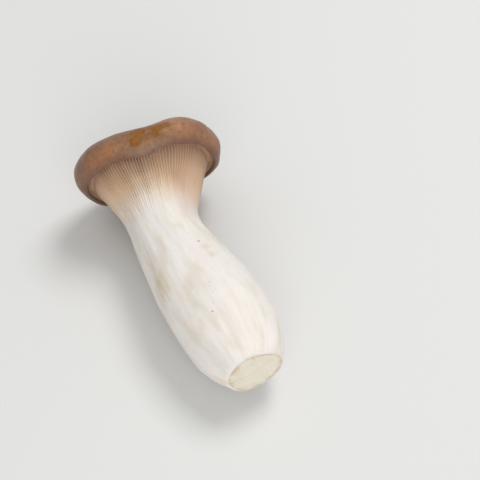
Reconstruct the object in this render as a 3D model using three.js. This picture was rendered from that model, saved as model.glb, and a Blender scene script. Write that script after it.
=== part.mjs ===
// King oyster mushroom (Pleurotus eryngii), picked and trimmed, lying on its side.
// Millimetres, +Z up. The stem runs along +Y from its cut foot to the cap.
// The origin is the centre of the bounding box's bottom face, so the mushroom rests on z = 0.
// The whole mushroom grew as one piece, so it is one closed mesh: rings of flesh threaded on a
// bent centre line, from the middle of the cut foot to the crown of the cap.

import * as THREE from 'three';

// Driving dimensions
const STEM_RADIUS = 19.7;      // the swollen lower stem, at its thickest
const NECK_RADIUS = 14.6;      // the waist under the gills
const CAP_RADIUS = 30.8;       // the cap across its widest ring
const CAP_AT = 106.8;          // the cap's widest ring, measured from the foot along the stem
const SETTLED = 0.95;          // depth of the flats where the soft flesh has settled

// Mesh density
const RINGS = 56;              // steps from foot to crown
const SECTORS = 60;            // points around each ring

// The centre line: distance along Y from the foot, sideways sway in X, height of the flesh's
// middle. The stem leans over towards the neck, and the neck arches up, so that the cap tips
// back by about twenty degrees.
const SPINE = [
  [0, 9.4, 18.5],
  [14, 8.1, 18.9],
  [31, 5.2, 19.1],
  [48, 1.6, 19.4],
  [66, -1.6, 19.8],
  [80, -1.9, 20.9],
  [92, -0.8, 22.9],
  [100, -0.2, 25.6],
];
const CAP_ROOT = 96.4;         // past this the centre line runs straight, as the cap's own axis

// Stations from foot to crown: distance along the centre line, half width, half height.
const TRIMMED_FOOT = [
  [0.3, 0, 0],
  [0.2, 6, 6],
  [0, 11.0, 10.7],
  [0.9, 12.2, 11.9],
];
const STEM = [
  [7.4, STEM_RADIUS - 3.9, STEM_RADIUS - 4.3],
  [17.4, STEM_RADIUS - 1.2, STEM_RADIUS - 1.2],
  [30.4, STEM_RADIUS - 0.4, STEM_RADIUS + 0.4],
  [46.4, STEM_RADIUS - 1.8, STEM_RADIUS - 0.8],
  [61.4, NECK_RADIUS + 0.6, NECK_RADIUS + 2.2],
  [73.4, NECK_RADIUS - 0.2, NECK_RADIUS + 0.8],
];
const GILLED_FLARE = [
  [81.4, NECK_RADIUS + 0.3, NECK_RADIUS + 0.8],
  [88.4, NECK_RADIUS + 2.6, NECK_RADIUS + 2.6],
  [95.4, CAP_RADIUS - 10.2, CAP_RADIUS - 10.2],
  [CAP_AT - 5.9, CAP_RADIUS - 7.4, CAP_RADIUS - 7.4],
  [CAP_AT - 2.9, CAP_RADIUS - 6.6, CAP_RADIUS - 6.6],
];
const ROLLED_MARGIN = [
  [CAP_AT - 3.4, CAP_RADIUS - 5.2, CAP_RADIUS - 5.2],
  [CAP_AT - 5.2, CAP_RADIUS - 3.6, CAP_RADIUS - 3.6],
  [CAP_AT - 4.0, CAP_RADIUS - 1.4, CAP_RADIUS - 1.4],
];
const CAP = [
  [CAP_AT, CAP_RADIUS, CAP_RADIUS],
  [CAP_AT + 4.2, CAP_RADIUS - 1.6, CAP_RADIUS - 1.6],
  [CAP_AT + 7.0, CAP_RADIUS - 6.2, CAP_RADIUS - 6.2],
  [CAP_AT + 8.6, CAP_RADIUS * 0.5, CAP_RADIUS * 0.5],
  [CAP_AT + 8.8, CAP_RADIUS * 0.25, CAP_RADIUS * 0.25],
  [CAP_AT + 8.7, 0, 0],
];

// The cap isn't round: broad lobes push its margin towards the foot (negative) or away from it,
// and swell or pinch its radius. An angle of 0 is the +X side, 90 is the top.
// Each row: angle and spread in degrees, then the size of the push in mm or of the swell.
const MARGIN_PUSH = [[118, 26, -0.6], [52, 30, 0.8], [220, 40, -1.5]];
const MARGIN_SWELL = [[60, 26, 0.03], [100, 22, -0.02]];
const CROWN_PUSH = [[88, 20, -1.6], [62, 18, 0.5]];

const RESTING = THREE.MathUtils.degToRad(270);   // the side that lies on the surface

const spine = new THREE.CubicInterpolant(
  SPINE.map((knot) => knot[0]),
  SPINE.flatMap((knot) => knot.slice(1)),
  2,
);

function centreLine(along) {
  const [x, z] = spine.evaluate(along);
  return new THREE.Vector3(x, along, z);
}

// Position on the centre line, with the ring's own directions: ahead, side and up.
function ringFrame(along) {
  const bent = Math.min(along, CAP_ROOT);
  const middle = centreLine(bent);
  const ahead = centreLine(bent + 0.5).sub(centreLine(bent - 0.5));
  middle.addScaledVector(ahead, along - bent);
  ahead.normalize();
  const side = new THREE.Vector3().crossVectors(ahead, new THREE.Vector3(0, 0, 1)).normalize();
  const up = new THREE.Vector3().crossVectors(side, ahead);
  return { middle, ahead, side, up };
}

// The sum of soft round lobes at an angle
function lobes(rows, angle) {
  let total = 0;
  for (const [centre, spread, size] of rows) {
    const away = THREE.MathUtils.euclideanModulo(
      angle - THREE.MathUtils.degToRad(centre) + Math.PI, 2 * Math.PI) - Math.PI;
    total += size * Math.exp(-((away / THREE.MathUtils.degToRad(spread)) ** 2));
  }
  return total;
}

function surfacePoint(station, angle) {
  const along = station.x;
  const { middle, ahead, side, up } = ringFrame(along);
  const inCap = THREE.MathUtils.smoothstep(along, 86, 102)
    * THREE.MathUtils.smoothstep(station.y, 4, 24);
  const onCrown = THREE.MathUtils.smoothstep(along, CAP_AT - 4.5, CAP_AT + 4.5);
  const swell = 1 + inCap * lobes(MARGIN_SWELL, angle);
  const push = inCap * (lobes(MARGIN_PUSH, angle) + onCrown * lobes(CROWN_PUSH, angle));
  return middle
    .addScaledVector(ahead, push)
    .addScaledVector(side, swell * station.y * Math.cos(angle))
    .addScaledVector(up, swell * station.z * Math.sin(angle));
}

// The surface's grid: one pole, the rings, the other pole
function mushroomSurface() {
  const stations = [...TRIMMED_FOOT, ...STEM, ...GILLED_FLARE, ...ROLLED_MARGIN, ...CAP];
  const outline = new THREE.CatmullRomCurve3(
    stations.map((station) => new THREE.Vector3(...station)), false, 'catmullrom', 0.5);
  const steps = outline.getSpacedPoints(RINGS);
  const points = [surfacePoint(steps[0], 0)];
  for (const step of steps.slice(1, -1)) {
    for (let sector = 0; sector < SECTORS; sector += 1) {
      points.push(surfacePoint(step, RESTING + (2 * Math.PI * sector) / SECTORS));
    }
  }
  points.push(surfacePoint(steps[RINGS], 0));
  return points;
}

function mushroomFaces() {
  const faces = [];
  const crown = 1 + (RINGS - 1) * SECTORS;
  for (let sector = 0; sector < SECTORS; sector += 1) {
    const next = (sector + 1) % SECTORS;
    faces.push(0, 1 + sector, 1 + next);
    for (let ring = 0; ring < RINGS - 2; ring += 1) {
      const near = 1 + ring * SECTORS;
      const far = near + SECTORS;
      faces.push(near + sector, far + next, near + next);
      faces.push(near + sector, far + sector, far + next);
    }
    faces.push(crown, crown - SECTORS + next, crown - SECTORS + sector);
  }
  return faces;
}

// Lets the mushroom down onto z = 0 until the flesh under it has settled into flats, and
// centres its footprint on the origin.
function settle(points) {
  const box = new THREE.Box3().setFromPoints(points);
  const centre = box.getCenter(new THREE.Vector3());
  for (const point of points) {
    point.x -= centre.x;
    point.y -= centre.y;
    point.z = Math.max(0, point.z - box.min.z - SETTLED);
  }
}

const points = mushroomSurface();
settle(points);
const geometry = new THREE.BufferGeometry().setFromPoints(points);
geometry.setIndex(mushroomFaces());
geometry.computeVertexNormals();

const flesh = new THREE.MeshStandardMaterial({ color: 0xe2dacd, roughness: 0.75, metalness: 0 });
const mushroom = new THREE.Mesh(geometry, flesh);
mushroom.name = 'king_oyster_mushroom';

const part = new THREE.Group();
part.add(mushroom);

export default part;
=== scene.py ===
"""King oyster mushroom: the visual model, built over its CAD solid.

The mushroom grew as one body, so it is one closed mesh: rings of flesh threaded on a bent centre
line, with the gills pressed into the flare under the cap by a Geometry Nodes tree.
The form's own lengths are millimetres, in the CAD model's frame, and become metres at the end.
"""

import math

import bpy
import numpy as np
from mathutils import Matrix, Vector
from mathutils.bvhtree import BVHTree


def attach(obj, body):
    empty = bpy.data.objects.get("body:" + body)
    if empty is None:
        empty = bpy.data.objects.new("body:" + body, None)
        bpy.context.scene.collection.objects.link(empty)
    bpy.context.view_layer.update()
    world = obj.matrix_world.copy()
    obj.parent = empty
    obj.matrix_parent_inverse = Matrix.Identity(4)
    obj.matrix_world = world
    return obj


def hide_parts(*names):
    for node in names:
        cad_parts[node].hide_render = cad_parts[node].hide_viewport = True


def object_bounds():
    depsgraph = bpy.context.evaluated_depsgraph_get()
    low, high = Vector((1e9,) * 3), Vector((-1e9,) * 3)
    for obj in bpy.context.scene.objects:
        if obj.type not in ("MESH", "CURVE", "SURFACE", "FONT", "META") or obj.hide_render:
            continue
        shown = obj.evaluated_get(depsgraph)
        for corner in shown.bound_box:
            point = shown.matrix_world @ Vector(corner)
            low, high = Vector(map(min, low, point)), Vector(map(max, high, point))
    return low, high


bl_info = {
    "name": "King Oyster Mushroom",
    "version": (1, 0, 0),
    "blender": (4, 5, 0),
    "location": "View3D > Sidebar > Mushroom",
    "description": "Builds a king oyster mushroom lying on its side, with its gills and skin",
    "category": "Object",
}

NODE = "king_oyster_mushroom"
MM = 0.001

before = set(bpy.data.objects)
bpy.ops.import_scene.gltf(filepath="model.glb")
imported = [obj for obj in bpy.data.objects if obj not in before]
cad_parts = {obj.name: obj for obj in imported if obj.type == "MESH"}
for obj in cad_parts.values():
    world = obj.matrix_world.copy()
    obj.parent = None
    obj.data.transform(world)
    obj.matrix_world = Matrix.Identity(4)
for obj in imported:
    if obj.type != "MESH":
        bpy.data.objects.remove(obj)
cad_low, cad_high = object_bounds()
cad_size = (cad_high - cad_low) / MM


def linear(hex_colour):
    """The linear, opaque colour of an sRGB hex value such as '#E6DFD3'."""
    channels = [int(hex_colour[i:i + 2], 16) / 255 for i in (1, 3, 5)]
    return (
        *(c / 12.92 if c <= 0.04045 else ((c + 0.055) / 1.055) ** 2.4 for c in channels), 1.0)


# ---------------------------------------------------------------------------------------------
# Sizes and colours that a user would change
# ---------------------------------------------------------------------------------------------

def length_of(name, description, default_mm):
    return bpy.props.FloatProperty(
        name=name, description=description, default=default_mm * MM, min=0.0, unit="LENGTH")


def colour_of(name, description, hex_colour):
    return bpy.props.FloatVectorProperty(
        name=name, description=description, default=linear(hex_colour), size=4, min=0.0, max=1.0,
        subtype="COLOR")


def angle_of(name, description, degrees):
    return bpy.props.FloatProperty(
        name=name, description=description, default=math.radians(degrees), subtype="ANGLE")


class MushroomForm(bpy.types.PropertyGroup):
    """The mushroom's driving sizes. The first four are shares of the CAD model's box."""

    cap_radius: length_of("Cap radius", "Half the width of the cap", cad_size.x / 2)
    cap_at: length_of("Cap position", "Foot to the cap's widest ring", 0.8708 * cad_size.y)
    stem_radius: length_of("Stem radius", "The swollen lower stem", 0.3204 * cad_size.x)
    neck_radius: length_of("Neck radius", "The waist under the gills", 0.2375 * cad_size.x)
    settled: length_of("Settled depth", "Depth of the flats where soft flesh rests", 0.95)
    furrows: length_of("Furrows", "Height of the long swells along the stem", 0.42)
    gills: bpy.props.IntProperty(
        name="Full gills", description="Gills that run all the way down to the neck",
        default=56, min=8)
    gill_depth: length_of("Gill depth", "Depth between two gills", 1.2)
    gill_edge: bpy.props.FloatProperty(
        name="Gill thickness", description="A gill's width as a share of the full gills' pitch",
        default=0.42, min=0.0, max=1.0, subtype="FACTOR")
    seed: bpy.props.IntProperty(name="Seed", description="Chooses the random detail", default=7)


class MushroomColours(bpy.types.PropertyGroup):
    """The mushroom's colours."""

    flesh: colour_of("Flesh", "Fresh stem flesh", "#EAE5E0")
    fibre: colour_of("Fibre", "The streaks that run along the stem", "#D3C8B7")
    handled: colour_of("Handled", "Where the flesh has yellowed", "#DACCB4")
    smudge: colour_of("Smudges", "Small marks left by handling", "#CBB88F")
    speck: colour_of("Specks", "Small spots on the stem", "#9C8766")
    gill: colour_of("Gill edge", "The free edge of a gill", "#CFB394")
    # Gills up under the margin: partly their own tan, partly painted shade from the margin. Also the
    # colour of the painted shade on one side of the flare
    gill_tan_and_shade: colour_of("Gill by the margin", "Gills where the margin covers them", "#BC9A80")
    # Painted shade in the gaps between gills, up under the margin
    between: colour_of("Between gills", "The gap between two gills", "#7A5C47")
    # The same painted gap shade down by the neck
    gap_shade_low: colour_of("Between gills, low", "The same gap down by the neck", "#B8976E")
    cap: colour_of("Cap", "The cap's skin", "#8C664C")
    cap_warm: colour_of("Cap, warm", "Reddish patches of the skin", "#AD764C")
    # Also the colour of the painted shadow line along the lip
    cap_dark_and_shadow: colour_of("Cap, dark", "The darkest streaks of the skin", "#5E483B")
    # Painted shade where the margin rolls in, and at the cap's two sides
    cap_margin_shade: colour_of("Cap lip", "The skin where it rolls in to the gills", "#6D4E40")
    cap_pale: colour_of("Cap, pale", "The bloom on the cap's shoulder", "#A68F7C")
    damp: colour_of("Damp patch", "The ochre stain on top of the cap", "#8C5606")
    damp_dark: colour_of("Damp patch, dark", "The stain's edges and its darkest flecks", "#5E3810")
    cut: colour_of("Cut flesh", "The knife cut at the foot", "#E6DFD0")
    cut_dry: colour_of("Dried cut", "The rim of the cut, where it has dried", "#BFA988")


class MushroomStage(bpy.types.PropertyGroup):
    """The floor, the lights and the camera."""

    floor: colour_of("Floor", "The plain pale floor", "#DCDCDA")
    azimuth: angle_of("View azimuth", "Turn of the camera about Z; 0 looks along +Y", -19.0)
    elevation: angle_of("View elevation", "Height of the camera above the horizon", 50.0)
    distance: length_of("View distance", "Camera to the aim point", 630.0)
    aim_right: length_of("Aim right", "Aim point right of the mushroom's middle", 30.5)
    aim_ahead: length_of("Aim ahead", "Aim point towards the cap from the middle", 17.8)
    lens: bpy.props.FloatProperty(
        name="Lens", description="Focal length on a 36 mm sensor", default=112.5, unit="CAMERA")


# ---------------------------------------------------------------------------------------------
# The form: a bent centre line, rings of flesh on it, and the relief of their surface
# ---------------------------------------------------------------------------------------------

CAP_ROOT = 96.4                # past this the centre line runs straight, as the cap's own axis
RESTING = math.radians(270)    # the side that lies on the surface

# Distance from the foot, sideways sway, height of the flesh's middle
SPINE = [
    (0, 9.4, 18.5),
    (14, 8.1, 18.9),
    (31, 5.2, 19.1),
    (48, 1.6, 19.4),
    (66, -1.6, 19.8),
    (80, -1.9, 20.9),
    (92, -0.8, 22.9),
    (100, -0.2, 25.6),
]

LOBES_ALONG = (86, 102)        # mm from the foot over which the cap's lobes take hold
LOBES_ACROSS = (4, 24)         # mm of half width over which they do
CAP_TURN = 4.5                 # mm on each side of the cap's widest ring where it turns to crown
# Broad lobes of the cap: angle and spread in degrees, then a push in mm or a swell
MARGIN_PUSH = [(118, 26, -0.6), (52, 30, 0.8), (220, 40, -1.5)]
MARGIN_SWELL = [(60, 26, 0.03), (100, 22, -0.02)]
CROWN_PUSH = [(88, 20, -1.6), (62, 18, 0.5)]
LIP_PUSH = [
    (98, 11, -2.0),
    (150, 14, -0.6),
    (205, 12, 0.7),
    (262, 16, -0.8),
    (318, 12, 0.6),
    (20, 12, -0.7),
]

# Lumps and dents that the stem grew with: angle and spread in degrees, run, its spread and height
# in mm. The first is the knuckle where the swollen stem leaves the neck.
LUMPS = [
    (14, 26, 85, 7, 1.0),
    (58, 12, 74, 9, -0.45),
    (100, 16, 83, 8, 0.35),
    (150, 20, 62, 9, 0.45),
    (128, 12, 48, 8, -0.35),
    (75, 14, 40, 10, 0.35),
    (228, 25, 45, 12, -0.5),
    (330, 22, 58, 12, 0.5),
    (195, 18, 30, 9, 0.4),
]

# Waves in the flesh: how many round the ring, their length along the run in mm, and their size:
# a share of the furrows' height in the long swells, of a gill's pitch in its leans, or else mm
LONG_SWELLS = [
    (2, 90, 0.7),
    (3, 70, 0.65),
    (5, 55, 0.6),
    (8, 60, 0.45),
    (13, 45, 0.32),
    (21, 38, 0.2),
    (34, 30, 0.1),
]
KNIFE_FACETS = [(2, 40, 0.3), (3, 40, 0.3), (5, 40, 0.16)]
CROWN_SWELLS = [(2, 46, 0.30), (3, 34, 0.26), (5, 27, 0.20), (8, 19, 0.10)]
CRIMPS = [(11, 30, 0.16), (17, 22, 0.12), (27, 16, 0.07)]
GILL_LEANS = [(3, 60, 0.35), (7, 34, 0.16)]
GILL_UNEVEN = 0.16             # how far one gill stands from its even place, in pitches

GRAIN_RADIUS = 16.0            # of the straightened copy of each ring that patterns are drawn on
OUTLINE_STEPS = 8000           # steps in which the outline's run is measured
LIP_ROLL = 1.5                 # how far the cap's skin is rolled in past the lip, along the run
# Ring spacing in mm along the surface, and the points around each ring: twelve to a full gill
RINGS = {
    "cut": (0.8, 168),
    "stem": (1.4, 336),
    "gills": (0.55, 672),
    "margin": (0.5, 672),
    "cap": (0.85, 336),
    "crown": (0.85, 168),
}


def stations(form):
    """Distance along the centre line, half width and half height, in the regions' order."""
    stem, neck = form.stem_radius / MM, form.neck_radius / MM
    cap, cap_at = form.cap_radius / MM, form.cap_at / MM
    return {
        "cut": [(0.3, 0, 0), (0.2, 6, 6), (0, 11.0, 10.7)],
        "stem": [
            (0.9, 12.2, 11.9),
            (7.4, stem - 3.9, stem - 4.3),
            (17.4, stem - 1.2, stem - 1.2),
            (30.4, stem - 0.4, stem + 0.4),
            (46.4, stem - 1.8, stem - 0.8),
            (61.4, neck + 0.6, neck + 2.2),
            (73.4, neck - 0.2, neck + 0.8),
        ],
        "gills": [
            (81.4, neck + 0.3, neck + 0.8),
            (88.4, neck + 2.6, neck + 2.6),
            (95.4, cap - 10.2, cap - 10.2),
            (cap_at - 5.9, cap - 7.4, cap - 7.4),
            (cap_at - 2.9, cap - 6.6, cap - 6.6),
        ],
        "margin": [
            (cap_at - 3.4, cap - 5.2, cap - 5.2),
            (cap_at - 5.2, cap - 3.6, cap - 3.6),
        ],
        "cap": [
            (cap_at - 4.0, cap - 1.4, cap - 1.4),
            (cap_at, cap, cap),
            (cap_at + 4.2, cap - 1.6, cap - 1.6),
            (cap_at + 7.0, cap - 6.2, cap - 6.2),
            (cap_at + 8.6, cap * 0.5, cap * 0.5),
        ],
        "crown": [
            (cap_at + 8.8, cap * 0.25, cap * 0.25),
            (cap_at + 8.7, 0, 0),
        ],
    }


def through(knots, at):
    """Smooth values between knots: cubics whose slope at a knot is the mean of its two sides'."""
    knots = np.array(knots, float)
    place, value = knots[:, 0], knots[:, 1:]
    step = np.diff(value, axis=0) / np.diff(place)[:, None]
    slope = np.vstack([step[:1], (step[1:] + step[:-1]) / 2, step[-1:]])
    piece = np.clip(np.searchsorted(place, at) - 1, 0, len(place) - 2)
    width = np.diff(place)[piece][:, None]
    t = (np.asarray(at) - place[piece])[:, None] / width
    return (
        (2 * t ** 3 - 3 * t ** 2 + 1) * value[piece]
        + (t ** 3 - 2 * t ** 2 + t) * width * slope[piece]
        + (3 * t ** 2 - 2 * t ** 3) * value[piece + 1]
        + (t ** 3 - t ** 2) * width * slope[piece + 1]
    )


def smoothstep(low, high, value):
    t = np.clip((value - low) / (high - low), 0, 1)
    return t * t * (3 - 2 * t)


def lobes(rows, angle):
    """The sum of soft round lobes at each angle."""
    total = 0.0
    for centre, spread, size in rows:
        away = (angle - math.radians(centre) + math.pi) % (2 * math.pi) - math.pi
        total = total + size * np.exp(-((away / math.radians(spread)) ** 2))
    return total


class Outline:
    """The mushroom's outline from the foot's middle to the crown, measured by its run in mm."""

    def __init__(self, form):
        regions = stations(form)
        rows = [row for region in regions.values() for row in region]
        knots = [(index, *row) for index, row in enumerate(rows)]
        fine = np.linspace(0, len(rows) - 1, OUTLINE_STEPS)
        self.points = through(knots, fine)
        steps = np.linalg.norm(np.diff(self.points, axis=0), axis=1)
        self.run = np.concatenate([[0], np.cumsum(steps)])
        ends = np.cumsum([len(region) for region in regions.values()]) - 1
        self.ends = dict(zip(regions, np.interp(ends, fine, self.run)))

    def at(self, run):
        """Distance along the centre line, half width and half height at a run."""
        return [float(np.interp(run, self.run, column)) for column in self.points.T]


def ring_frame(along):
    """A place on the centre line with its ring's directions: ahead, side and up."""
    bent = min(along, CAP_ROOT)

    def centre(at):
        (sway, height), = through(SPINE, [at])
        return np.array([sway, at, height])

    # Over one millimetre, so that it also carries the line straight on past its bent part
    ahead = centre(bent + 0.5) - centre(bent - 0.5)
    middle = centre(bent) + ahead * (along - bent)
    ahead /= np.linalg.norm(ahead)
    side = np.cross(ahead, (0, 0, 1))
    side /= np.linalg.norm(side)
    return middle, ahead, side, np.cross(side, ahead)


def waves(angle, run, rows, chance):
    """Smooth unevenness: a sum of waves, each a count round the ring, a length in mm and a size."""
    total = 0.0
    for count, length, size in rows:
        turn, shift = chance.uniform(0, 2 * math.pi, 2)
        bend = np.sin(2 * math.pi * run / length + shift)
        total = total + size * np.sin(count * angle + turn + 1.4 * bend) * (0.6 + 0.4 * bend)
    return total


def relief(angle, run, outline, form):
    """How far the flesh stands proud of its plain rings, in mm."""
    chance = np.random.default_rng(form.seed)
    ends = outline.ends
    # Each kind of relief fades in and out over 6 to 14 mm
    on_stem = smoothstep(ends["cut"], ends["cut"] + 6, run) * (
        1 - smoothstep(ends["stem"] - 4, ends["stem"] + 10, run))
    on_cap = smoothstep(ends["margin"] - 1, ends["margin"] + 5, run)
    by_margin = on_cap * (1 - smoothstep(ends["margin"] + 10, ends["margin"] + 24, run))
    stem = on_stem * (form.furrows / MM) * waves(angle, run, LONG_SWELLS, chance)
    # The knife left the foot's rim uneven, in flat facets that fade out within 8 mm
    at_rim = math.exp(-(((run - ends["cut"] - 1) / 4) ** 2))
    stem = stem + at_rim * waves(angle, run, KNIFE_FACETS, chance)
    for centre, spread, place, length, height in LUMPS:
        reach = math.exp(-(((run - place) / length) ** 2))
        stem = stem + reach * lobes([(centre, spread, height)], angle)
    cap = on_cap * waves(angle, run, CROWN_SWELLS, chance)
    return stem + cap + by_margin * waves(angle, run, CRIMPS, chance)


def gill_sway(angle, run, outline, form):
    """How far the gills lean sideways from a true meridian, in radians."""
    chance = np.random.default_rng(form.seed + 1)
    pitch = 2 * math.pi / form.gills
    ends = outline.ends
    free = smoothstep(ends["stem"], ends["stem"] + 8, run) * (
        1 - smoothstep(ends["gills"] - 1, ends["margin"], run))
    spots = chance.uniform(-GILL_UNEVEN, GILL_UNEVEN, form.gills)
    uneven = np.interp(angle, np.arange(form.gills) * pitch, spots, period=2 * math.pi)
    return free * pitch * (uneven + waves(angle, run, GILL_LEANS, chance))


def surface(run, turn, outline, form):
    """The points of one ring, in mm, at a run from the foot and a row of turns."""
    plain = 2 * math.pi * turn
    angle = RESTING + plain + gill_sway(plain, run, outline, form)
    along, width, height = outline.at(run)
    middle, ahead, side, up = ring_frame(along)
    cap_at, cap_radius = form.cap_at / MM, form.cap_radius / MM
    in_cap = smoothstep(*LOBES_ALONG, along) * smoothstep(*LOBES_ACROSS, width)
    on_crown = smoothstep(cap_at - CAP_TURN, cap_at + CAP_TURN, along)
    ends = outline.ends
    on_lip = smoothstep(ends["gills"] - 3, ends["margin"], run) * (
        1 - smoothstep(ends["margin"] + 3, ends["margin"] + 12, run))
    swell = 1 + in_cap * lobes(MARGIN_SWELL, angle)
    push = in_cap * (
        lobes(MARGIN_PUSH, angle) + on_crown * lobes(CROWN_PUSH, angle)
        + on_lip * lobes(LIP_PUSH, angle))
    # The relief dies away at the middle of the foot and of the crown
    proud = relief(angle, run, outline, form) * smoothstep(0, 6, width)
    # On the crown the relief lifts the skin along the cap's axis instead of widening it
    lift = on_crown * (1 - smoothstep(0.7, 1.0, width / cap_radius))
    push = push + proud * lift
    proud = proud * (1 - lift)
    return (
        middle
        + np.outer(push, ahead)
        + np.outer((swell * width + proud) * np.cos(angle), side)
        + np.outer((swell * height + proud) * np.sin(angle), up)
    )


def ring_runs(outline):
    """Each ring's run and how many points it has, from the foot's middle to the crown's."""
    rings = [(0.0, 1)]
    for region, (spacing, columns) in RINGS.items():
        start, end = rings[-1][0], outline.ends[region]
        steps = round((end - start) / spacing)
        rings += [(start + (end - start) * step / steps, columns) for step in range(1, steps)]
        rings.append((end, columns))
    rings[-1] = (outline.ends["crown"], 1)
    return rings


def settle(points, form):
    """Lets the mushroom down until the flesh under it is flat, in the CAD model's own box."""
    points = points - [0, 0, points[:, 2].min() + form.settled / MM]
    points[:, 2] = np.maximum(points[:, 2], 0)
    low, high = points.min(axis=0), points.max(axis=0)
    return np.array(cad_low) + (points - low) / (high - low) * np.array(cad_high - cad_low)


def ring_faces(near, far):
    """Faces from one ring of points to the next, as rows of point numbers. Where the columns
    double, each wide gap is closed by a fan of three."""
    if len(near) == len(far):
        return [np.stack([near, far, np.roll(far, -1), np.roll(near, -1)], axis=1)]
    wide, narrow = (near, far) if len(near) < len(far) else (far, near)
    beside = np.roll(wide, -1)
    first, middle, last = narrow[::2], narrow[1::2], np.roll(narrow[::2], -1)
    fans = [(wide, first, middle), (wide, middle, beside), (beside, middle, last)]
    turned = 1 if wide is near else -1
    return [np.stack(fan[::turned], axis=1) for fan in fans]


def fruit_body_mesh(form):
    """The smooth flesh as one closed mesh, with each point's run and turn, and the outline."""
    outline = Outline(form)
    rings = []
    points, runs, turns, faces = [], [], [], []
    for run, columns in ring_runs(outline):
        turn = np.arange(columns) / columns
        rings.append(len(runs) + np.arange(columns))
        runs.extend([run] * columns)
        turns.extend(turn)
        points.append(surface(run, turn, outline, form))
    for near, far in zip(rings, rings[1:]):
        if len(near) == 1:
            faces.append(np.stack([near[0] + 0 * far, far, np.roll(far, -1)], axis=1))
        elif len(far) == 1:
            faces.append(np.stack([far[0] + 0 * near, np.roll(near, -1), near], axis=1))
        else:
            faces.extend(ring_faces(near, far))
    mesh = bpy.data.meshes.new(NODE)
    rows = [row for block in faces for row in block.tolist()]
    mesh.from_pydata(settle(np.vstack(points), form), [], rows)
    mesh.shade_smooth()
    return mesh, np.array(runs), np.array(turns), outline


def add_attributes(mesh, runs, turns, outline):
    """Stores what the gills and the skin follow: run and turn, a straightened grain, regions."""
    angle = 2 * math.pi * turns
    grain = np.stack([GRAIN_RADIUS * np.cos(angle), GRAIN_RADIUS * np.sin(angle), runs], axis=1)
    for name, values in (("run", runs * MM), ("turn", turns)):
        mesh.attributes.new(name, "FLOAT", "POINT").data.foreach_set("value", values)
    layer = mesh.attributes.new("grain", "FLOAT_VECTOR", "POINT")
    layer.data.foreach_set("vector", (grain * MM).ravel())
    middles = [runs[list(face.vertices)].mean() for face in mesh.polygons]
    region = np.digitize(middles, [outline.ends["cut"], outline.ends["margin"] - LIP_ROLL])
    mesh.attributes.new("region", "INT", "FACE").data.foreach_set("value", region)


# ---------------------------------------------------------------------------------------------
# Node trees
# ---------------------------------------------------------------------------------------------

def add(tree, kind, inputs=None, **settings):
    """Adds a node with its settings, and sets or links its inputs by name or number."""
    node = tree.nodes.new(kind)
    for name, value in settings.items():
        setattr(node, name, value)
    for key, value in (inputs or {}).items():
        if isinstance(value, bpy.types.NodeSocket):
            tree.links.new(value, node.inputs[key])
        else:
            node.inputs[key].default_value = value
    return node


# The gill tree's inputs, by kind of socket. The materials stand in the regions' order.
GILL_INPUTS = {
    "NodeSocketGeometry": ["Geometry"],
    "NodeSocketInt": ["Full Gills", "Seed"],
    "NodeSocketFloat": [
        "Gill Depth", "Gill Edge", "Gills From", "Short Gills From", "Gills To", "Scatter"],
    "NodeSocketMaterial": ["Cut", "Flesh", "Cap Skin"],
}
FADE = 24.0                    # mm over which a gill rises out of the neck
SHORT_FADE = 6.0               # mm over which a short gill rises between two full ones
ROOT_FADE = 1.6                # mm over which the gaps close where gills meet the margin
SCATTER = 5.0                  # mm by which one gill's lower end may be above another's
GILLS_BELOW_FLARE = 0.5        # mm that the lowest gills start below the flare
SHORT_GILLS_UP = 0.15          # the share of the flare that is below the short gills
GILLS_PAST_CORNER = 3.0        # mm that the gills run on, past the corner, on the margin's inside


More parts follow.
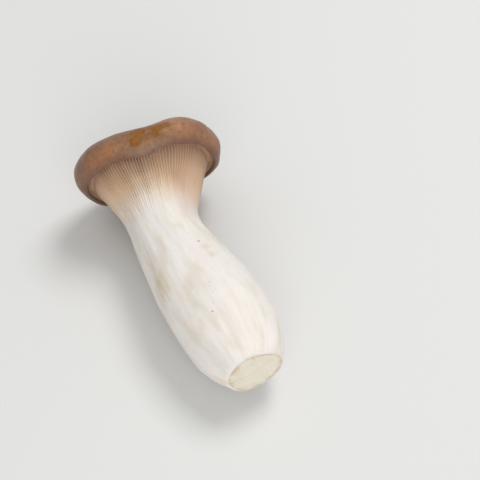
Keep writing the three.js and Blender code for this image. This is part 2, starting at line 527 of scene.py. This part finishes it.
def gill_profile(tree, given, run, turn):
    """How much of a gill stands at a point, from 0 in a gap to 1 on an edge, and how far the gaps
    are open there. Full gills run down to the neck, and a short one stands between each two of
    them; each ends a little higher or lower than the next."""
    math_node = "ShaderNodeMath"

    # Where this point is between full gills: 0 on a full gill, 0.5 half way to the next
    across = add(tree, math_node, {0: turn, 1: given["Full Gills"]}, operation="MULTIPLY").outputs[0]
    from_full = add(tree, math_node, {0: across, 1: 0.5}, operation="PINGPONG").outputs[0]
    from_short = add(tree, math_node, {0: 0.5, 1: from_full}, operation="SUBTRACT").outputs[0]
    half_edge = add(
        tree, math_node, {0: given["Gill Edge"], 1: 0.5}, operation="MULTIPLY").outputs[0]

    def ridge(distance):
        """1 in the middle of a gill and 0 past its edge."""
        return add(tree, "ShaderNodeMapRange", {
            "Value": distance, "From Max": half_edge, "To Min": 1.0, "To Max": 0.0,
        }, interpolation_type="SMOOTHSTEP").outputs["Result"]

    def rise(number, start, fade, extra_seed):
        """0 below a gill's own lower end and 1 above it."""
        seed = add(
            tree, math_node, {0: given["Seed"], 1: extra_seed}, operation="ADD").outputs[0]
        chance = add(tree, "FunctionNodeRandomValue", {
            "ID": number, "Seed": seed}, data_type="FLOAT").outputs[1]
        late = add(tree, math_node, {
            0: chance, 1: given["Scatter"], 2: start}, operation="MULTIPLY_ADD").outputs[0]
        full = add(tree, math_node, {0: late, 1: fade * MM}, operation="ADD").outputs[0]
        return add(tree, "ShaderNodeMapRange", {
            "Value": run, "From Min": late, "From Max": full,
        }, interpolation_type="SMOOTHSTEP").outputs["Result"]

    nearest = add(tree, math_node, {0: across}, operation="ROUND").outputs[0]
    number = add(
        tree, math_node, {0: nearest, 1: given["Full Gills"]}, operation="MODULO").outputs[0]
    between = add(tree, math_node, {0: across}, operation="FLOOR").outputs[0]
    full_rise = rise(number, given["Gills From"], FADE, 0)
    short_rise = rise(between, given["Short Gills From"], SHORT_FADE, 1)
    short_gill = add(
        tree, math_node, {0: ridge(from_short), 1: short_rise}, operation="MULTIPLY").outputs[0]
    gill = add(
        tree, math_node, {0: ridge(from_full), 1: short_gill}, operation="MAXIMUM").outputs[0]

    # The gaps deepen up the flare and close on the inside of the margin
    root = add(
        tree, math_node, {0: given["Gills To"], 1: ROOT_FADE * MM}, operation="SUBTRACT").outputs[0]
    opened = add(tree, "ShaderNodeMapRange", {
        "Value": run, "From Min": root, "From Max": given["Gills To"],
        "To Min": 1.0, "To Max": 0.0,
    }, interpolation_type="SMOOTHSTEP").outputs["Result"]
    gap = add(tree, math_node, {0: full_rise, 1: opened}, operation="MULTIPLY").outputs[0]
    return gill, gap


def gill_tree():
    """Presses the gaps between gills into the flare, and gives each region its material."""
    tree = bpy.data.node_groups.new("Gills", "GeometryNodeTree")
    for kind, names in GILL_INPUTS.items():
        for name in names:
            tree.interface.new_socket(name, in_out="INPUT", socket_type=kind)
    tree.interface.new_socket("Geometry", in_out="OUTPUT", socket_type="NodeSocketGeometry")
    given = add(tree, "NodeGroupInput").outputs
    run, turn, region = [
        add(tree, "GeometryNodeInputNamedAttribute", {"Name": name}, data_type=kind).outputs[0]
        for name, kind in (("run", "FLOAT"), ("turn", "FLOAT"), ("region", "INT"))]
    gill, gap = gill_profile(tree, given, run, turn)

    # Each point moves along its normal: not at all on a gill, and to the full depth in a gap
    inward = add(tree, "ShaderNodeMath", {0: 1.0, 1: gill}, operation="SUBTRACT").outputs[0]
    for share in (gap, given["Gill Depth"], -1.0):
        inward = add(
            tree, "ShaderNodeMath", {0: inward, 1: share}, operation="MULTIPLY").outputs[0]
    normal = add(tree, "GeometryNodeInputNormal").outputs[0]
    offset = add(
        tree, "ShaderNodeVectorMath", {0: normal, "Scale": inward}, operation="SCALE").outputs[0]

    shape = given["Geometry"]
    for name, value in (("gill", gill), ("gap", gap)):
        shape = add(tree, "GeometryNodeStoreNamedAttribute", {
            "Geometry": shape, "Name": name, "Value": value,
        }, data_type="FLOAT", domain="POINT").outputs[0]
    shape = add(tree, "GeometryNodeSetPosition", {"Geometry": shape, "Offset": offset}).outputs[0]
    shape = add(tree, "GeometryNodeRealizeInstances", {"Geometry": shape}).outputs[0]
    for index, name in enumerate(GILL_INPUTS["NodeSocketMaterial"]):
        chosen = add(tree, "FunctionNodeCompare", {
            "A": region, "B": index}, data_type="INT", operation="EQUAL").outputs[0]
        shape = add(tree, "GeometryNodeSetMaterial", {
            "Geometry": shape, "Selection": chosen, "Material": given[name]}).outputs[0]
    add(tree, "NodeGroupOutput", {"Geometry": shape})
    return tree


def press_gills(piece, form, outline, materials):
    """Runs the gill tree on the piece and keeps the result as its plain mesh."""
    tree = gill_tree()
    stem_end, gills_end = outline.ends["stem"], outline.ends["gills"]
    values = {
        "Full Gills": form.gills,
        "Gill Depth": form.gill_depth,
        "Gill Edge": form.gill_edge,
        "Gills From": (stem_end - GILLS_BELOW_FLARE) * MM,
        "Short Gills From": (stem_end + SHORT_GILLS_UP * (gills_end - stem_end)) * MM,
        "Gills To": (gills_end + GILLS_PAST_CORNER) * MM,
        "Scatter": SCATTER * MM,
        "Seed": form.seed,
        **materials,
    }
    modifier = piece.modifiers.new("Gills", "NODES")
    modifier.node_group = tree
    for item in tree.interface.items_tree:
        if item.in_out == "INPUT" and item.name in values:
            modifier[item.identifier] = values[item.name]
    depsgraph = bpy.context.evaluated_depsgraph_get()
    plain = bpy.data.meshes.new_from_object(
        piece.evaluated_get(depsgraph), preserve_all_data_layers=True, depsgraph=depsgraph)
    smooth, piece.data = piece.data, plain
    piece.modifiers.remove(modifier)
    bpy.data.meshes.remove(smooth)
    bpy.data.node_groups.remove(tree)
    plain.name = piece.name


# ---------------------------------------------------------------------------------------------
# Materials
# ---------------------------------------------------------------------------------------------

# How a pattern's coordinates are squeezed, which draws its grains out that way. A shift chooses
# which part of a pattern shows, and the knife's drag lines cross the foot at a slant.
LONG = {"Scale": (1, 1, 0.1)}
SMUDGED = {"Location": (20 * MM, 0, 10 * MM), "Scale": (1, 1, 0.4)}
FLECKED = {"Scale": (1, 1, 0.13)}
RADIAL = {"Scale": (1, 1, 0.08)}
DRAGGED = {"Rotation": (0, math.radians(35), 0), "Scale": (0.05, 1, 1)}

# Each noise pattern: what it is drawn on and how that is squeezed, then the width of one grain in
# mm, its detail and its roughness. The grain runs along the flesh, and place is plain space.
# Blots take their ragged edges from the pattern named torn.
FLESH_PATTERNS = {
    "fibres": ("grain", LONG, 0.6, 3.0, 0.5),
    "streaks": ("grain", LONG, 4.0, 4.0, 0.6),
    "gap patches": ("grain", LONG, 3.0, 2.0, 0.5),
    "torn": ("grain", LONG, 1.6, 4.0, 0.7),
    "smudges": ("grain", SMUDGED, 6.0, 4.0, 0.55),
    "flecks": ("grain", FLECKED, 0.45, 3.0, 0.7),
    "clouds": ("place", {}, 22.0, 3.0, 0.55),
    "spot edges": ("place", {}, 0.9, 3.0, 0.5),
    "matt face": ("place", {}, 0.5, 2.0, 0.5),
}
CAP_PATTERNS = {
    "fibrils": ("grain", RADIAL, 0.5, 3.0, 0.6),
    "patches": ("place", {}, 13.0, 4.0, 0.6),
    "mottle": ("place", {}, 1.8, 4.0, 0.7),
    "torn": ("place", {}, 1.6, 5.0, 0.75),
}
CUT_PATTERNS = {
    "pores": ("place", {}, 0.7, 3.0, 0.6),
    "clouds": ("place", {}, 5.0, 4.0, 0.6),
    "drag lines": ("place", DRAGGED, 1.1, 2.0, 0.5),
}
SPOTS_APART = 16.0             # mm from one small spot on the stem to the next

# How light sinks into fresh flesh: red goes furthest, 1.6 mm
FLESH_LIGHT = {
    "IOR": 1.4, "Subsurface Radius": (1.0, 0.6, 0.4), "Subsurface Scale": 1.6 * MM}


def new_material(name):
    """A new material, and its node tree with nothing in it."""
    material = bpy.data.materials.new(name)
    material.use_nodes = True
    material.node_tree.nodes.clear()
    return material, material.node_tree


def draw_patterns(tree, attributes, patterns):
    """The sockets that a material is painted from, by name: a point's place, the attributes that
    the mesh carries, and the noise patterns."""
    drawn = {"place": add(tree, "ShaderNodeTexCoord").outputs["Object"]}
    for name in attributes:
        outputs = add(tree, "ShaderNodeAttribute", attribute_name=name).outputs
        drawn[name] = outputs["Vector" if name == "grain" else "Fac"]
    for name, (source, squeezed, width, detail, roughness) in patterns.items():
        vector = drawn[source]
        if squeezed:
            vector = add(tree, "ShaderNodeMapping", {"Vector": vector, **squeezed}).outputs[0]
        drawn[name] = add(tree, "ShaderNodeTexNoise", {
            "Vector": vector, "Scale": 1 / (width * MM), "Detail": detail,
            "Roughness": roughness}).outputs[0]
    return drawn


def lay_coats(tree, colour, coats):
    """Lays coats of colour over each other. A coat's amount is a socket, or else a pattern, its
    values where the coat starts and where it is fullest, and how much it covers there."""
    for amount, coat in coats:
        if isinstance(amount, tuple):
            pattern, start, full, cover = amount
            amount = add(tree, "ShaderNodeMapRange", {
                "Value": pattern, "From Min": start, "From Max": full, "To Max": cover,
            }).outputs[0]
        colour = add(tree, "ShaderNodeMix", {
            0: amount, 6: colour, 7: coat}, data_type="RGBA").outputs[2]
    return colour


def finish_surface(tree, colour, roughness, bumps, settings):
    """Ends a material's tree with its shader. Each bump is a pattern, its strength and its height
    in mm, and lies over the one before."""
    under = {}
    for height, strength, distance in bumps:
        bump = add(tree, "ShaderNodeBump", {
            "Height": height, "Strength": strength, "Distance": distance * MM, **under})
        under = {"Normal": bump.outputs[0]}
    shader = add(tree, "ShaderNodeBsdfPrincipled", {
        "Base Color": colour, "Roughness": roughness, **under, **settings})
    add(tree, "ShaderNodeOutputMaterial", {"Surface": shader.outputs[0]})


RAGGED = 3.6                   # how far a blot's torn edge wanders, as a share of its radius
# The shares of a blot's radius between which it fades: inner, then outer
TOUCH_FADE = (-0.6, 1.8)
BLOOM_FADE = (-0.4, 1.6)
STAIN_FADE = (0.55, 1.1)
HALO_FADE = (0.6, 2.4)


def blot(tree, drawn, centre, size, fade, cover=1.0):
    """How much a blot covers: its full cover in the middle, and less and less over its torn edge.
    Its centre and radius are in mm."""
    inner, outer = fade
    away = add(tree, "ShaderNodeVectorMath", {
        0: drawn["place"], 1: tuple(MM * value for value in centre)}, operation="DISTANCE")
    reach = add(tree, "ShaderNodeMath", {
        0: drawn["torn"], 1: RAGGED * size * MM, 2: away.outputs["Value"],
    }, operation="MULTIPLY_ADD").outputs[0]
    return add(tree, "ShaderNodeMapRange", {
        "Value": reach, "From Min": (RAGGED / 2 + outer) * size * MM,
        "From Max": (RAGGED / 2 + inner) * size * MM, "To Max": cover,
    }, interpolation_type="SMOOTHSTEP").outputs[0]


# Middle of each place where the stem was touched, its radius in mm, and how strongly it shows
TOUCHED = [
    ((-14.4, -15.5, 29.1), 4.0, 0.7),
    ((-14.0, -21.0, 28.6), 5.0, 0.75),
    ((6.9, -10.5, 37.1), 1.6, 0.5),
    ((7.8, -15.5, 37.9), 1.8, 0.5),
    ((0.5, 3.5, 36.2), 2.2, 0.35),
]


def stem_colour(tree, colours, drawn):
    """Cream flesh with yellowed areas, streaks, fibres, handling marks and thin flecks. Over them
    lie ragged marks where it was touched, and a few ragged spots under 1 mm across."""
    marks = [
        (blot(tree, drawn, centre, size, TOUCH_FADE, strength), colours.smudge)
        for centre, size, strength in TOUCHED]
    spots = add(tree, "ShaderNodeTexVoronoi", {
        "Vector": drawn["place"], "Scale": 1 / (SPOTS_APART * MM), "Randomness": 1.0,
    }, feature="F1").outputs["Distance"]
    spots = add(tree, "ShaderNodeMath", {
        0: drawn["spot edges"], 1: 0.06, 2: spots}, operation="MULTIPLY_ADD").outputs[0]
    return lay_coats(tree, colours.flesh, [
        ((drawn["clouds"], 0.5, 0.75, 0.3), colours.handled),
        ((drawn["streaks"], 0.5, 0.78, 0.4), colours.fibre),
        ((drawn["fibres"], 0.45, 0.8, 0.22), colours.fibre),
        ((drawn["smudges"], 0.5, 0.8, 0.4), colours.smudge),
        ((drawn["flecks"], 0.62, 0.8, 0.25), colours.speck),
        *marks,
        ((spots, 0.075, 0.05, 0.65), colours.speck),
    ])


def gill_colour(tree, colours, colour, outline, drawn):
    """Up the neck the cream turns tan, and on up the gills brown, partly with painted shade from the
    margin. The gaps between gills and one side of the flare carry painted shade.
    """
    math_node, ramp = "ShaderNodeMath", "ShaderNodeMapRange"
    run = drawn["run"]
    stem_end, gills_end = outline.ends["stem"] * MM, outline.ends["gills"] * MM
    up_neck = add(tree, ramp, {
        "Value": run, "From Min": stem_end, "From Max": stem_end + FADE * MM,
    }, interpolation_type="SMOOTHSTEP").outputs[0]
    uneven = add(tree, math_node, {0: drawn["streaks"], 1: 0.38}, operation="ADD").outputs[0]
    tanned = add(tree, math_node, {0: up_neck, 1: uneven}, operation="MULTIPLY").outputs[0]

    # Painted shade: one side of the flare is made browner than the other, for the shade that falls
    # there
    across = add(tree, "ShaderNodeSeparateXYZ", {0: drawn["grain"]}).outputs["Y"]
    beside = add(tree, ramp, {
        "Value": across, "From Min": 2 * MM, "From Max": 10 * MM, "To Max": 0.5,
    }, interpolation_type="SMOOTHSTEP").outputs[0]
    from_neck = add(tree, ramp, {
        "Value": run, "From Min": stem_end - 10 * MM, "From Max": stem_end + 16 * MM,
    }, interpolation_type="SMOOTHSTEP").outputs[0]
    painted_side_shade = add(tree, math_node, {0: beside, 1: from_neck}, operation="MULTIPLY").outputs[0]
    # Up under the margin the gills turn browner: partly their own tan, partly painted shade from the
    # margin
    under_margin = add(tree, ramp, {
        "Value": run, "From Min": gills_end - 15 * MM, "From Max": gills_end,
    }, interpolation_type="SMOOTHSTEP").outputs[0]

    # Painted shade in the gaps between gills: deepest under the margin, stronger in some gaps than
    # in others, and weaker on the side that carries the painted side shade
    brown = add(tree, ramp, {
        "Value": under_margin, "To Min": 0.24, "To Max": 0.56}).outputs[0]
    patchy = add(tree, ramp, {
        "Value": drawn["gap patches"], "From Min": 0.36, "From Max": 0.64,
        "To Min": 0.35, "To Max": 1.3}).outputs[0]
    gap_shade_by_side = add(tree, ramp, {
        "Value": across, "From Min": -7 * MM, "From Max": 3 * MM, "To Min": 1.45, "To Max": 0.75,
    }).outputs[0]
    # Painted shade: each gap between two gills is darkened
    painted_gap_shade = add(tree, math_node, {0: 1.0, 1: drawn["gill"]}, operation="SUBTRACT").outputs[0]
    for share in (drawn["gap"], brown, patchy, gap_shade_by_side):
        painted_gap_shade = add(tree, math_node, {0: painted_gap_shade, 1: share}, operation="MULTIPLY").outputs[0]
    shade = lay_coats(tree, colours.gap_shade_low, [(under_margin, colours.between)])
    return lay_coats(tree, colour, [
        (tanned, colours.gill),
        (painted_side_shade, colours.gill_tan_and_shade),
        (under_margin, colours.gill_tan_and_shade),
        (painted_gap_shade, shade),
    ])


def flesh_material(colours, outline):
    """Fresh fungus flesh, as grown: matt, fibrous and slightly translucent. It gives the eye a
    cream stem with soft long streaks that turns tan, then brown, up the gills. Painted shade lies in
    the gaps between gills, under the margin and on one side of the flare."""
    material, tree = new_material("fresh_mushroom_flesh")
    drawn = draw_patterns(tree, ("grain", "run", "gill", "gap"), FLESH_PATTERNS)
    colour = stem_colour(tree, colours, drawn)
    colour = gill_colour(tree, colours, colour, outline, drawn)
    rough = add(tree, "ShaderNodeMapRange", {
        "Value": drawn["streaks"], "From Min": 0.3, "From Max": 0.7,
        "To Min": 0.58, "To Max": 0.72}).outputs[0]
    bumps = [(drawn["fibres"], 0.35, 0.12), (drawn["matt face"], 0.3, 0.06)]
    finish_surface(tree, colour, rough, bumps, {**FLESH_LIGHT, "Subsurface Weight": 0.25})
    return material


# Middle of each damp blot on top of the cap, and its radius, in mm
DAMP_BLOTS = [
    ((-5.3, 38.2, 56.0), 3.4),
    ((-7.0, 35.4, 55.0), 2.4),
    ((-3.4, 36.0, 56.2), 1.9),
    ((-1.4, 40.6, 55.8), 2.2),
    ((2.4, 37.2, 57.0), 3.2),
    ((5.6, 38.4, 57.0), 2.2),
]
# Middle of each paler place where the margin is thickest, and its radius, in mm
BLOOM = [
    ((-6.0, 32.0, 53.5), 5.5),
    ((3.0, 31.0, 53.5), 4.0),
]


def margin_colour(tree, colours, colour, outline, drawn):
    """The margin carries painted shade where it rolls in, and all the way up at the cap's two sides.
    It has a painted shadow line along its edge by the gills, and the shoulder above it carries a
    pale bloom."""
    math_node, ramp = "ShaderNodeMath", "ShaderNodeMapRange"
    run, lip = drawn["run"], outline.ends["margin"] * MM
    # Painted shade where the margin rolls in and turns down to the gills
    rolled = add(tree, ramp, {
        "Value": run, "From Min": lip + 8 * MM, "From Max": lip + 1 * MM, "To Max": 0.75,
    }, interpolation_type="SMOOTHSTEP").outputs[0]
    across = add(tree, "ShaderNodeSeparateXYZ", {0: drawn["grain"]}).outputs["Y"]
    across = add(tree, math_node, {0: across}, operation="ABSOLUTE").outputs[0]
    # Painted shade all the way up at the cap's two sides
    at_side = add(tree, ramp, {
        "Value": across, "From Min": 6 * MM, "From Max": 14 * MM, "To Max": 0.4,
    }, interpolation_type="SMOOTHSTEP").outputs[0]
    painted_margin_shade = add(tree, math_node, {0: rolled, 1: at_side}, operation="MAXIMUM").outputs[0]
    # Painted shadow: a dark line along the lip where it meets the gills
    edge = add(tree, ramp, {
        "Value": run, "From Min": lip + 0.8 * MM, "From Max": lip - 0.8 * MM, "To Max": 0.7,
    }, interpolation_type="SMOOTHSTEP").outputs[0]
    shoulder = add(tree, ramp, {
        "Value": run, "From Min": lip + 8 * MM, "From Max": lip + 14 * MM, "To Max": 0.4,
    }, interpolation_type="SMOOTHSTEP").outputs[0]
    bloom = add(tree, math_node, {
        0: shoulder, 1: drawn["patches"]}, operation="MULTIPLY").outputs[0]
    return lay_coats(tree, colour, [
        (painted_margin_shade, colours.cap_margin_shade), (edge, colours.cap_dark_and_shadow), (bloom, colours.cap_pale)])


def damp_colour(tree, colours, colour, drawn):
    """Pale bloom where the margin is thickest, and beside it the damp patch: blots with ragged
    edges that ran together, each in a faint halo. Gives the colour and how wet the skin is."""
    math_node, ramp = "ShaderNodeMath", "ShaderNodeMapRange"
    pale = [
        (blot(tree, drawn, centre, size, BLOOM_FADE, 0.33), colours.cap_pale)
        for centre, size in BLOOM]
    wet, halo = 0.0, 0.0
    for centre, size in DAMP_BLOTS:
        patch = blot(tree, drawn, centre, size, STAIN_FADE)
        ring = blot(tree, drawn, centre, size, HALO_FADE, 0.4)
        wet = add(tree, math_node, {0: wet, 1: patch}, operation="MAXIMUM").outputs[0]
        halo = add(tree, math_node, {0: halo, 1: ring}, operation="MAXIMUM").outputs[0]
    soaked = add(tree, ramp, {
        "Value": drawn["mottle"], "From Min": 0.35, "From Max": 0.6,
        "To Min": 0.7, "To Max": 1.0}).outputs[0]
    stain = add(tree, math_node, {0: wet, 1: soaked}, operation="MULTIPLY").outputs[0]
    # Darkest along the stain's edge, where it half covers the skin, and in its flecks
    edge = add(tree, math_node, {0: wet, 1: 0.5}, operation="PINGPONG").outputs[0]
    flecks = add(tree, ramp, {
        "Value": drawn["mottle"], "From Min": 0.5, "From Max": 0.62, "To Max": 0.5}).outputs[0]
    flecks = add(tree, math_node, {0: flecks, 1: wet}, operation="MULTIPLY").outputs[0]
    dark = add(tree, math_node, {
        0: edge, 1: 1.2, 2: flecks}, operation="MULTIPLY_ADD").outputs[0]
    colour = lay_coats(tree, colour, [
        *pale, (halo, colours.damp), (stain, colours.damp), (dark, colours.damp_dark)])
    return colour, wet


def cap_material(colours, outline):
    """The cap's skin, as grown: a thin brown cuticle with a dry, suede-like face. It gives the eye
    fine darker streaks that radiate from the crown, and one damp ochre patch on top. Painted shade
    lies on the rolled margin and the cap's two sides, with a painted shadow line along the lip."""
    material, tree = new_material("mushroom_cap_skin")
    ramp = "ShaderNodeMapRange"
    drawn = draw_patterns(tree, ("grain", "run"), CAP_PATTERNS)
    fibrils, mottle = drawn["fibrils"], drawn["mottle"]
    # The fibrils show most on the crown
    streaked = add(tree, ramp, {
        "Value": drawn["run"], "From Min": outline.ends["cap"] * MM - 10 * MM,
        "From Max": outline.ends["crown"] * MM, "To Min": 0.4, "To Max": 0.85}).outputs[0]
    colour = lay_coats(tree, colours.cap, [
        ((drawn["patches"], 0.42, 0.62, 0.9), colours.cap_warm),
        ((mottle, 0.48, 0.72, 0.5), colours.cap_dark_and_shadow),
        ((mottle, 0.46, 0.28, 0.4), colours.cap_pale),
        ((fibrils, 0.48, 0.8, streaked), colours.cap_dark_and_shadow),
    ])
    colour = margin_colour(tree, colours, colour, outline, drawn)
    colour, wet = damp_colour(tree, colours, colour, drawn)
    dry_rough = add(tree, ramp, {
        "Value": mottle, "From Min": 0.3, "From Max": 0.7, "To Min": 0.46, "To Max": 0.62,
    }).outputs[0]
    rough = add(tree, "ShaderNodeMix", {
        0: wet, 2: dry_rough, 3: 0.36}, data_type="FLOAT").outputs[0]
    finish_surface(tree, colour, rough, [(fibrils, 0.5, 0.2), (mottle, 0.6, 0.35)], {
        "IOR": 1.42, "Subsurface Weight": 0.08, "Subsurface Radius": (1.0, 0.5, 0.3),
        "Subsurface Scale": 1.0 * MM, "Sheen Weight": 0.2, "Sheen Roughness": 0.3})
    return material


def cut_material(colours, outline):
    """Mushroom flesh as a knife leaves it: open end grain, drying first at the rim. It gives the
    eye an ivory face with fine pores, faint drag lines and a patchy tan edge."""
    material, tree = new_material("knife_cut_flesh")
    drawn = draw_patterns(tree, ("run",), CUT_PATTERNS)
    clouds, pores, drag = drawn["clouds"], drawn["pores"], drawn["drag lines"]
    # The face dries from its rim inwards, further in some places than in others
    rim = outline.ends["cut"] * MM
    shifted = add(tree, "ShaderNodeMath", {
        0: clouds, 1: 9 * MM, 2: drawn["run"]}, operation="MULTIPLY_ADD").outputs[0]
    dry = add(tree, "ShaderNodeMapRange", {
        "Value": shifted, "From Min": rim + 1.5 * MM, "From Max": rim + 6 * MM, "To Max": 0.8,
    }, interpolation_type="SMOOTHSTEP").outputs[0]
    colour = lay_coats(tree, colours.cut, [
        ((clouds, 0.45, 0.7, 0.5), colours.handled),
        ((pores, 0.5, 0.72, 0.5), colours.handled),
        ((drag, 0.52, 0.75, 0.4), colours.fibre),
        (dry, colours.cut_dry),
    ])
    finish_surface(tree, colour, 0.78, [(drag, 0.5, 0.4), (pores, 0.6, 0.3)], {
        **FLESH_LIGHT, "Subsurface Weight": 0.2})
    return material


# ---------------------------------------------------------------------------------------------
# Operators
# ---------------------------------------------------------------------------------------------

MOST_STRAY = 2.6 * MM          # the visual flesh's furthest from the CAD solid


def check_against_cad(piece):
    """Raises if the flesh strays too far from the CAD solid that it stands for."""
    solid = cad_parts[NODE]
    corners = [solid.matrix_world @ vertex.co for vertex in solid.data.vertices]
    tree = BVHTree.FromPolygons(corners, [tuple(face.vertices) for face in solid.data.polygons])
    most = max(tree.find_nearest(vertex.co)[3] for vertex in piece.data.vertices)
    print(f"the flesh strays {most / MM:.2f} mm from the CAD solid at most")
    if most > MOST_STRAY:
        raise RuntimeError(f"the flesh strays {most / MM:.2f} mm from the CAD solid")


class MUSHROOM_OT_fruit_body(bpy.types.Operator):
    """Builds the whole mushroom: foot, stem, gills and cap"""

    bl_idname = "mushroom.fruit_body"
    bl_label = "Build the Mushroom"

    def execute(self, context):
        form, colours = context.scene.mushroom_form, context.scene.mushroom_colours
        mesh, runs, turns, outline = fruit_body_mesh(form)
        add_attributes(mesh, runs, turns, outline)
        piece = bpy.data.objects.new("fruit_body", mesh)
        context.scene.collection.objects.link(piece)
        press_gills(piece, form, outline, {
            "Cut": cut_material(colours, outline),
            "Flesh": flesh_material(colours, outline),
            "Cap Skin": cap_material(colours, outline),
        })
        check_against_cad(piece)
        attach(piece, "root")
        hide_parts(NODE)
        return {"FINISHED"}


FLOOR_SIZE = 20.0              # metres
# Name, place in metres, width of the lamp in metres, power in watts
LIGHTS = [
    ("key_light", (0.5, 0.3, 1.1), 0.5, 7.1),
    ("fill_light", (-0.25, -1.1, 0.65), 1.0, 8.0),
]
WORLD_STRENGTH = 0.5


def lay_floor(context, stage):
    """A matt, plain pale floor under the mushroom, large enough to fill the view."""
    half = FLOOR_SIZE / 2
    mesh = bpy.data.meshes.new("floor")
    corners = [(-half, -half, 0), (half, -half, 0), (half, half, 0), (-half, half, 0)]
    mesh.from_pydata(corners, [], [(0, 1, 2, 3)])
    material, tree = new_material("plain_floor")
    finish_surface(tree, stage.floor, 0.9, [], {})
    mesh.materials.append(material)
    floor = bpy.data.objects.new("floor", mesh)
    context.scene.collection.objects.link(floor)


def add_light(context, name, place, size, watts):
    """A square soft light that faces the mushroom."""
    lamp = bpy.data.lights.new(name, "AREA")
    lamp.size = size
    lamp.energy = watts
    light = bpy.data.objects.new(name, lamp)
    light.location = place
    light.rotation_euler = (-Vector(place)).to_track_quat("-Z", "Y").to_euler()
    context.scene.collection.objects.link(light)


def light_world(context):
    """An even pale surround that keeps the shadows soft."""
    world = bpy.data.worlds.new("studio")
    world.use_nodes = True
    background = world.node_tree.nodes["Background"]
    background.inputs["Color"].default_value = (1.0, 1.0, 1.0, 1.0)
    background.inputs["Strength"].default_value = WORLD_STRENGTH
    context.scene.world = world


def place_camera(context, stage):
    """The camera looks down on the mushroom from beyond its foot."""
    lens = bpy.data.cameras.new("camera")
    lens.lens = stage.lens
    camera = bpy.data.objects.new("camera", lens)
    turned = Matrix.Rotation(stage.azimuth, 4, "Z")
    raised = Matrix.Rotation(math.pi / 2 - stage.elevation, 4, "X")
    aim = Vector((stage.aim_right, stage.aim_ahead, 0))
    back = Matrix.Translation((0, 0, stage.distance))
    camera.matrix_world = Matrix.Translation(aim) @ turned @ raised @ back
    context.scene.collection.objects.link(camera)
    context.scene.camera = camera


class MUSHROOM_OT_stage(bpy.types.Operator):
    """Lays the floor and sets the lights and the camera"""

    bl_idname = "mushroom.stage"
    bl_label = "Set the Stage"

    def execute(self, context):
        stage = context.scene.mushroom_stage
        lay_floor(context, stage)
        for name, place, size, watts in LIGHTS:
            add_light(context, name, place, size, watts)
        light_world(context)
        place_camera(context, stage)
        context.scene.view_settings.view_transform = "Standard"
        return {"FINISHED"}


class MUSHROOM_PT_panel(bpy.types.Panel):
    """Lists the mushroom's sizes, colours and steps"""

    bl_idname = "MUSHROOM_PT_panel"
    bl_label = "King Oyster Mushroom"
    bl_space_type = "VIEW_3D"
    bl_region_type = "UI"
    bl_category = "Mushroom"

    def draw(self, context):
        layout = self.layout
        for group in GROUPS:
            settings = getattr(context.scene, group)
            for name in settings.bl_rna.properties.keys():
                if name not in ("rna_type", "name"):
                    layout.prop(settings, name)
        for step in STEPS:
            layout.operator(step.bl_idname)


GROUPS = {
    "mushroom_form": MushroomForm,
    "mushroom_colours": MushroomColours,
    "mushroom_stage": MushroomStage,
}
STEPS = [MUSHROOM_OT_fruit_body, MUSHROOM_OT_stage]
CLASSES = [*GROUPS.values(), *STEPS, MUSHROOM_PT_panel]


def register():
    for cls in CLASSES:
        bpy.utils.register_class(cls)
    for name, group in GROUPS.items():
        setattr(bpy.types.Scene, name, bpy.props.PointerProperty(type=group))


def unregister():
    for name in GROUPS:
        delattr(bpy.types.Scene, name)
    for cls in reversed(CLASSES):
        bpy.utils.unregister_class(cls)


def main():
    register()
    bpy.ops.mushroom.fruit_body()
    bpy.ops.mushroom.stage()


if __name__ == "__main__":
    main()
